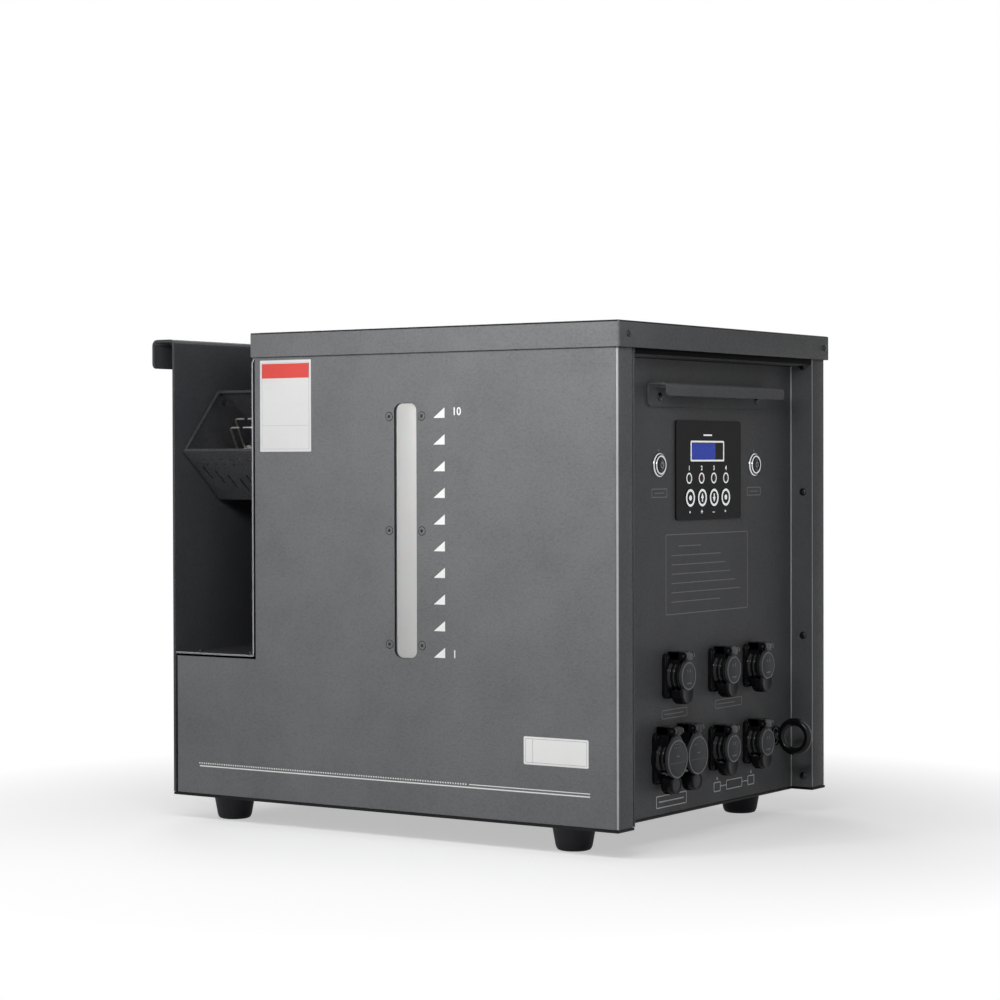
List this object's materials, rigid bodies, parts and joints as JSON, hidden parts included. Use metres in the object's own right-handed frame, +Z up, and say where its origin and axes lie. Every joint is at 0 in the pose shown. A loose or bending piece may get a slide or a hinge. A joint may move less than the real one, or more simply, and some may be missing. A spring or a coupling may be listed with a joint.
{
  "type": "stage flame machine",
  "caption": "Liquid-fuel stage flame machine: folded steel cabinet with a tilting burner in an open end bay and a recessed control panel with capped sockets.",
  "frame": {"origin": "centre of the overall footprint, on the surface that the feet stand on", "axes": "+X towards the control-panel end, +Y towards the back, so the long front panel faces -Y; +Z up"},
  "size_m": [0.5316, 0.3846, 0.4605],
  "materials": {
    "grey_powder_coat": "fine-textured dark grey powder coat",
    "dark_powder_coat": "fine-textured near-black powder coat",
    "black_plastic": "moulded, glossy",
    "grey_disc_plastic": "moulded, matt",
    "black_rubber": "moulded, matt",
    "chrome_plate": "polished",
    "brushed_steel": "brushed",
    "zinc_plated_steel": "bright zinc",
    "brass": "machined",
    "glazed_ceramic": "glazed alumina",
    "frosted_polyethylene": "translucent, frosted",
    "circuit_board": "board with a blue display",
    "silicone_lead": "silicone"
  },
  "bodies": {
    "cabinet": {"back_panel": "grey_powder_coat", "base_plate": "grey_powder_coat", "bay_liner": "grey_powder_coat", "control_panel": "grey_powder_coat", "display_bezel": "black_plastic", "display_board": "circuit_board", "feed_pipe": "zinc_plated_steel", "filler_neck": "black_plastic", "foot_back_left": "black_rubber", "foot_back_right": "black_rubber", "foot_front_left": "black_rubber", "foot_front_right": "black_rubber", "front_panel": "grey_powder_coat", "fuel_pump": "brushed_steel", "fuel_tank": "frosted_polyethylene", "ignition_transformer": "black_plastic", "left_button_bezel": "chrome_plate", "left_end_plate": "grey_powder_coat", "level_window": "frosted_polyethylene", "lid": "grey_powder_coat", "panel_handle": "grey_powder_coat", "pivot_bush_left": "brass", "pivot_bush_right": "brass", "power_supply": "zinc_plated_steel", "pressure_hose": "black_rubber", "right_button_bezel": "chrome_plate", "safety_eyebolt": "black_plastic", "socket_double": "black_plastic", "socket_lower_middle": "black_plastic", "socket_lower_right": "black_plastic", "socket_upper_left": "black_plastic", "socket_upper_middle": "black_plastic", "socket_upper_right": "black_plastic", "solenoid_valve": "brass", "spark_lead": "silicone_lead", "suction_hose": "black_rubber", "tank_cradle": "zinc_plated_steel"},
    "burner_head": {"burner_box": "dark_powder_coat", "nozzle": "brass", "insulator_left": "glazed_ceramic", "insulator_right": "glazed_ceramic", "electrode_front_left": "brushed_steel", "electrode_front_right": "brushed_steel", "electrode_back_left": "brushed_steel", "electrode_back_right": "brushed_steel", "tilt_lock_knob": "black_plastic"},
    "upper_left_lid": {"socket_lid_upper_left": "grey_disc_plastic"},
    "upper_middle_lid": {"socket_lid_upper_middle": "grey_disc_plastic"},
    "upper_right_lid": {"socket_lid_upper_right": "grey_disc_plastic"},
    "lower_middle_lid": {"socket_lid_lower_middle": "grey_disc_plastic"},
    "lower_right_lid": {"socket_lid_lower_right": "grey_disc_plastic"},
    "double_left_lid": {"socket_lid_double_left": "grey_disc_plastic"},
    "double_right_lid": {"socket_lid_double_right": "grey_disc_plastic"},
    "panel_key_1": {"key_1": "black_plastic"},
    "panel_key_2": {"key_2": "black_plastic"},
    "panel_key_3": {"key_3": "black_plastic"},
    "panel_key_4": {"key_4": "black_plastic"},
    "left_button": {"left_button_plunger": "brushed_steel"},
    "right_button": {"right_button_plunger": "brushed_steel"},
    "cap": {"filler_cap": "black_plastic"}
  },
  "joints": [
    {"name": "burner_tilt", "type": "hinge", "parent": "cabinet", "child": "burner_head", "pos_m": [-0.192, -0.1278, 0.3525], "axis": [1, 0, 0], "range_deg": [-49, 0]},
    {"name": "upper_left_lid_hinge", "type": "hinge", "parent": "cabinet", "child": "upper_left_lid", "pos_m": [0.2444, -0.06551, 0.1653], "axis": [0, -1, 0], "range_deg": [0, 110], "stiffness_Nm_per_rad": 0.004, "springref_deg": -22.92},
    {"name": "upper_middle_lid_hinge", "type": "hinge", "parent": "cabinet", "child": "upper_middle_lid", "pos_m": [0.2444, 0.016, 0.1653], "axis": [0, -1, 0], "range_deg": [0, 110], "stiffness_Nm_per_rad": 0.004, "springref_deg": -22.92},
    {"name": "upper_right_lid_hinge", "type": "hinge", "parent": "cabinet", "child": "upper_right_lid", "pos_m": [0.2444, 0.0802, 0.1653], "axis": [0, -1, 0], "range_deg": [0, 110], "stiffness_Nm_per_rad": 0.004, "springref_deg": -22.92},
    {"name": "lower_middle_lid_hinge", "type": "hinge", "parent": "cabinet", "child": "lower_middle_lid", "pos_m": [0.2444, 0.016, 0.0943], "axis": [0, -1, 0], "range_deg": [0, 110], "stiffness_Nm_per_rad": 0.004, "springref_deg": -22.92},
    {"name": "lower_right_lid_hinge", "type": "hinge", "parent": "cabinet", "child": "lower_right_lid", "pos_m": [0.2444, 0.0802, 0.0943], "axis": [0, -1, 0], "range_deg": [0, 110], "stiffness_Nm_per_rad": 0.004, "springref_deg": -22.92},
    {"name": "double_left_lid_hinge", "type": "hinge", "parent": "cabinet", "child": "double_left_lid", "pos_m": [0.2444, -0.08479, 0.1009], "axis": [0, -1, 0], "range_deg": [0, 110], "stiffness_Nm_per_rad": 0.004, "springref_deg": -22.92},
    {"name": "double_right_lid_hinge", "type": "hinge", "parent": "cabinet", "child": "double_right_lid", "pos_m": [0.2444, -0.04879, 0.1009], "axis": [0, -1, 0], "range_deg": [0, 110], "stiffness_Nm_per_rad": 0.004, "springref_deg": -22.92},
    {"name": "key_1_press", "type": "slide", "parent": "cabinet", "child": "panel_key_1", "axis": [-1, 0, 0], "range_m": [0, 0.0006], "stiffness_N_per_m": 300, "springref_m": -0.001},
    {"name": "key_2_press", "type": "slide", "parent": "cabinet", "child": "panel_key_2", "axis": [-1, 0, 0], "range_m": [0, 0.0006], "stiffness_N_per_m": 300, "springref_m": -0.001},
    {"name": "key_3_press", "type": "slide", "parent": "cabinet", "child": "panel_key_3", "axis": [-1, 0, 0], "range_m": [0, 0.0006], "stiffness_N_per_m": 300, "springref_m": -0.001},
    {"name": "key_4_press", "type": "slide", "parent": "cabinet", "child": "panel_key_4", "axis": [-1, 0, 0], "range_m": [0, 0.0006], "stiffness_N_per_m": 300, "springref_m": -0.001},
    {"name": "left_button_press", "type": "slide", "parent": "cabinet", "child": "left_button", "axis": [-1, 0, 0], "range_m": [0, 0.0025], "stiffness_N_per_m": 400, "springref_m": -0.003},
    {"name": "right_button_press", "type": "slide", "parent": "cabinet", "child": "right_button", "axis": [-1, 0, 0], "range_m": [0, 0.0025], "stiffness_N_per_m": 400, "springref_m": -0.003},
    {"name": "filler_cap_lift", "type": "slide", "parent": "cabinet", "child": "cap", "axis": [0, 0, 1], "range_m": [0, 0.03]}
  ]
}
